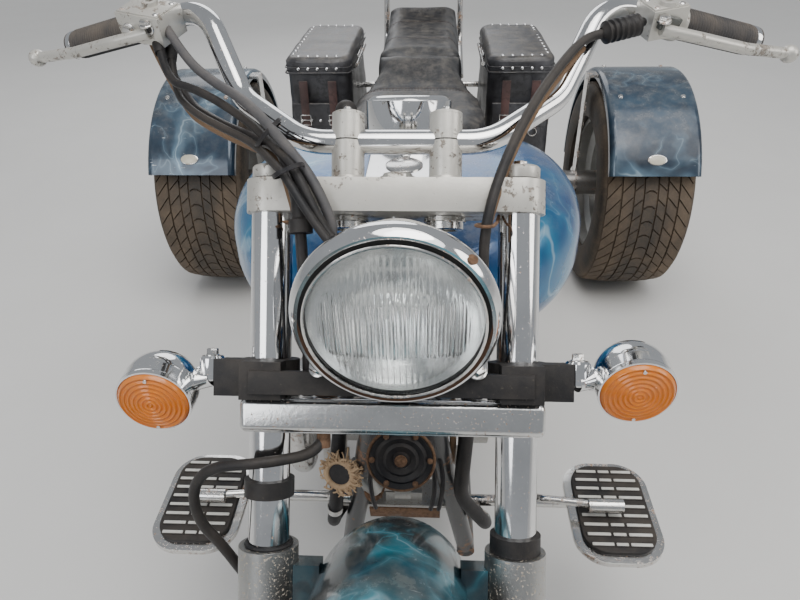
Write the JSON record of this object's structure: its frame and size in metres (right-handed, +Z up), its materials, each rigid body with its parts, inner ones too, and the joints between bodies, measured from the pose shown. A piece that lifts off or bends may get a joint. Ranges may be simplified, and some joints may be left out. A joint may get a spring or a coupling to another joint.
{
  "type": "motorized trike",
  "caption": "Cruiser motorcycle converted to three wheels, with a raked fork, wide rear tyres under fenders, studded saddlebags, stepped seat and backrest.",
  "frame": {"origin": "on the floor below the middle of the vehicle", "axes": "-Y is the way it faces, +X is the rider's left, +Z is up"},
  "size_m": [1.542, 2.451, 1.1708],
  "materials": {
    "chrome": "polished, pitted",
    "cast_alloy": "painted cast alloy, chipped",
    "dull_alloy": "dull, corroded",
    "engine_alloy": "grimy cast alloy",
    "blue_paint": "metallic, gloss",
    "slate_paint": "gloss, scratched",
    "dark_paint": "gloss, chipped",
    "frame_paint": "black, worn",
    "steel": "weathered",
    "black_rubber": "matt",
    "tyre": "dusty",
    "seat_vinyl": "satin, worn",
    "bag_leather": "satin, studded",
    "lamp_glass": "fluted",
    "amber_lens": "ribbed",
    "red_lens": "ribbed",
    "black_plastic": "matt"
  },
  "bodies": {
    "steering": {"upper_yoke": "cast_alloy", "lower_yoke": "chrome", "fork_tubes": "chrome", "fork_sliders": "dull_alloy", "front_axle": "steel", "fork_rings": "black_rubber", "lamp_brackets": "frame_paint", "headlamp_shell": "chrome", "headlamp_lens": "lamp_glass", "front_indicators": "chrome", "front_indicator_lenses": "amber_lens", "bar_risers": "cast_alloy", "handlebar": "chrome", "grips": "black_rubber", "hand_controls": "cast_alloy", "hand_levers": "dull_alloy", "front_fender": "dark_paint", "front_caliper": "engine_alloy", "steering_cables": "black_rubber"},
    "front_wheel_body": {"front_tyre": "tyre", "front_wheel": "dull_alloy"},
    "rear_wheel_left_body": {"rear_tyre_left": "tyre", "rear_wheel_left": "dull_alloy"},
    "rear_wheel_right_body": {"rear_tyre_right": "tyre", "rear_wheel_right": "dull_alloy"},
    "bag_lid_left": {"saddlebag_lid_left": "bag_leather"},
    "bag_lid_right": {"saddlebag_lid_right": "bag_leather"},
    "frame": {"frame_tubes": "frame_paint", "engine_case": "engine_alloy", "engine_fittings": "engine_alloy", "frame_hoses": "black_rubber", "cylinders": "engine_alloy", "air_cleaner": "chrome", "exhaust": "chrome", "horn": "black_plastic", "fuel_tank": "blue_paint", "tank_console": "chrome", "rider_seat": "seat_vinyl", "pillion_seat": "seat_vinyl", "backrest": "seat_vinyl", "sissy_bar": "chrome", "saddlebag_left": "bag_leather", "saddlebag_right": "bag_leather", "bag_rails": "steel", "rear_axle": "frame_paint", "shocks": "chrome", "rear_fenders": "slate_paint", "fender_stays": "frame_paint", "side_covers": "black_plastic", "footboards": "chrome", "footboard_pads": "black_rubber", "foot_pedals": "steel", "reverse_lever": "black_plastic", "plate_bracket": "steel", "tail_lamp": "chrome", "tail_lens": "red_lens"}
  },
  "joints": [
    {"name": "steering_turn", "type": "hinge", "parent": "frame", "child": "steering", "pos_m": [0, -0.53268, 0.79226], "axis": [0, 0.5592, 0.829], "range_deg": [-35, 35]},
    {"name": "front_wheel_spin", "type": "hinge", "parent": "steering", "child": "front_wheel_body", "pos_m": [0, -0.9055, 0.32], "axis": [1, 0, 0], "continuous": true},
    {"name": "rear_wheel_left_spin", "type": "hinge", "parent": "frame", "child": "rear_wheel_left_body", "pos_m": [0.6385, 0.8745, 0.32], "axis": [1, 0, 0], "continuous": true},
    {"name": "rear_wheel_right_spin", "type": "hinge", "parent": "frame", "child": "rear_wheel_right_body", "pos_m": [-0.6385, 0.8745, 0.32], "axis": [1, 0, 0], "continuous": true},
    {"name": "bag_lid_left_hinge", "type": "hinge", "parent": "frame", "child": "bag_lid_left", "pos_m": [0.162, 0.7245, 0.7553], "axis": [0, -1, 0], "range_deg": [0, 80]},
    {"name": "bag_lid_right_hinge", "type": "hinge", "parent": "frame", "child": "bag_lid_right", "pos_m": [-0.162, 0.7245, 0.7553], "axis": [0, 1, 0], "range_deg": [0, 80]}
  ]
}
